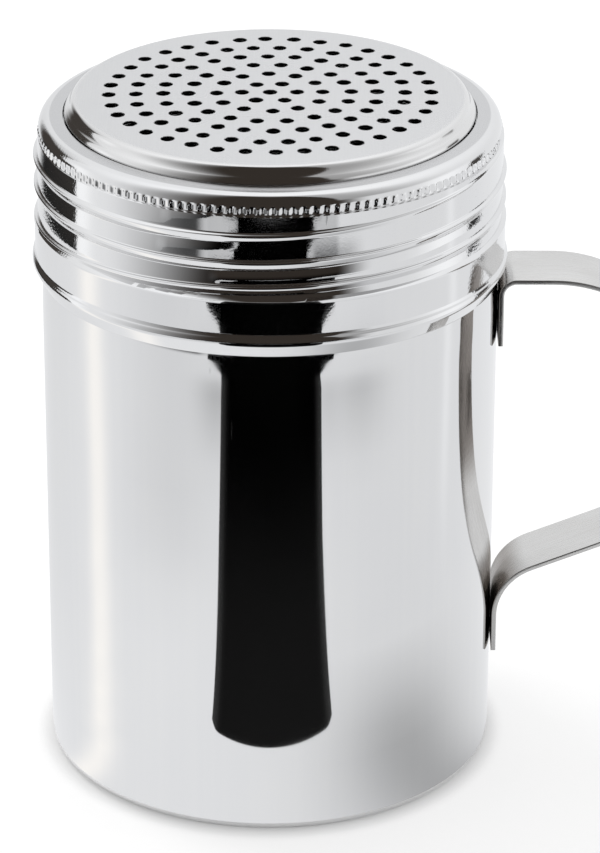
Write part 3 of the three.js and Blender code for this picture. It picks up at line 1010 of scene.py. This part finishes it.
def add_sheet():
    """The black opening in front of the sweep, painted as a near-black sheet that only mirrored rays see:
    straight near edge, rounded corners, grey rim.
    """
    inward = (0, 0.4, 1, 1.8, 2.8, 4, 6, 9)
    corner = 2.8
    rows = []
    colours = []
    for i in range(SHEET_ROWS + 1):
        share = i / SHEET_ROWS
        radius = SHEET_NEAR + (SHEET_FAR - SHEET_NEAR) * share
        left = along(SHEET_LEFT, radius, True)
        right = along(SHEET_RIGHT, radius, True)
        row = []
        for angle, inner in [(-left + d, d) for d in inward] + [(right - d, d) for d in inward[::-1]]:
            turn = math.radians(angle)
            near = SHEET_NEAR / math.cos(turn) + 3 * max(0.0, 1 - inner / corner) ** 2
            r = near + (SHEET_FAR - near) * share
            row.append((r * math.sin(turn), -r * math.cos(turn), SHEET_LEVEL))
        rows.append(row)
        deep = 0.009 * (1 - smooth(radius, 60, 190))
        rim = 0.035 * (1 - smooth(radius, 215, 235))
        colours.append([(deep + rim * (1 - smooth(d, 0, 3.5)),) * 3 for d in inward + inward[::-1]])
    add_card("black_sheet", rows, colours, glowing("black_glow"))


def add_world():
    """White all round, a little dimmer as light than as the camera sees it."""
    world = bpy.data.worlds.new("studio")
    bpy.context.scene.world = world
    world.use_nodes = True
    tree = world.node_tree
    background = tree.nodes["Background"]
    path = tree.nodes.new("ShaderNodeLightPath")
    share = tree.nodes.new("ShaderNodeMapRange")
    tree.links.new(path.outputs["Is Camera Ray"], share.inputs["Value"])
    share.inputs["To Min"].default_value = WORLD_STRENGTH
    share.inputs["To Max"].default_value = 1.0
    tree.links.new(share.outputs[0], background.inputs["Strength"])
    background.inputs["Color"].default_value = (1, 1, 1, 1)


def add_floor():
    """White floor that keeps a soft shadow, and is lifted to white for the camera alone; the lift is
    smaller near the foot, a painted contact shadow.
    """
    size = FLOOR_SIZE
    look = Shading("floor_white", FLOOR_WHITE, 0.9, 0.0)
    look.shader.inputs["Specular IOR Level"].default_value = 0
    seen = look.node("ShaderNodeLightPath").outputs["Is Camera Ray"]
    # Smaller lift near the foot: painted contact shadow
    lift = look.remap(look.radius(), CONTACT_NEAR * MM, CONTACT_FAR * MM, CONTACT_LIFT, FLOOR_LIFT)
    colour = look.mix(seen, (*FLOOR_WHITE, 1), (FLOOR_SHARE, FLOOR_SHARE, FLOOR_SHARE, 1))
    look.shader.inputs["Emission Color"].default_value = (1, 1, 1, 1)
    look.tree.links.new(look.math("MULTIPLY", seen, lift), look.shader.inputs["Emission Strength"])
    corners = [(-size, -size), (size, -size), (size, size), (-size, size)]
    floor = add_object("floor", [(x, y, FLOOR_LEVEL) for x, y in corners], [(0, 1, 2, 3)],
                       look.use(colour=colour))


def add_lamp():
    data = bpy.data.lights.new("soft_lamp", "AREA")
    data.shape = "DISK"
    data.size = LAMP_SIZE
    data.energy = LAMP_POWER
    lamp = bpy.data.objects.new("soft_lamp", data)
    bpy.context.scene.collection.objects.link(lamp)
    lamp.location = LAMP_PLACE
    lamp.rotation_euler = (-LAMP_PLACE).to_track_quat("-Z", "Y").to_euler()
    lamp.visible_glossy = False


add_camera()
welded = weld_metal()
add_piece("drawn_cup", make_cup(), "cup_body", ["cup"], polished_steel("polished_wall", WALL_GRAIN))
add_piece("bent_strap", make_strap(), "cup_body", ["handle_strap"], satin_steel())
add_piece("perforated_top", make_disc(), "disc_body", ["sprinkler_disc"], disc_steel())
add_piece("threaded_collar", make_collar(), "collar_body", ["lid_collar"],
          polished_steel("polished_collar", COLLAR_GRAIN))
for node in ("weld_upper_high", "weld_upper_low", "weld_lower_high", "weld_lower_low"):
    low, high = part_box(node)
    middle = (low.z + high.z) / 2 / MM
    add_piece(node + "_spot", make_weld(middle), "cup_body", [node], welded)
add_world()
add_floor()
add_tent()
add_sheet()
add_lamp()

scene = bpy.context.scene
scene.view_settings.view_transform = "Standard"
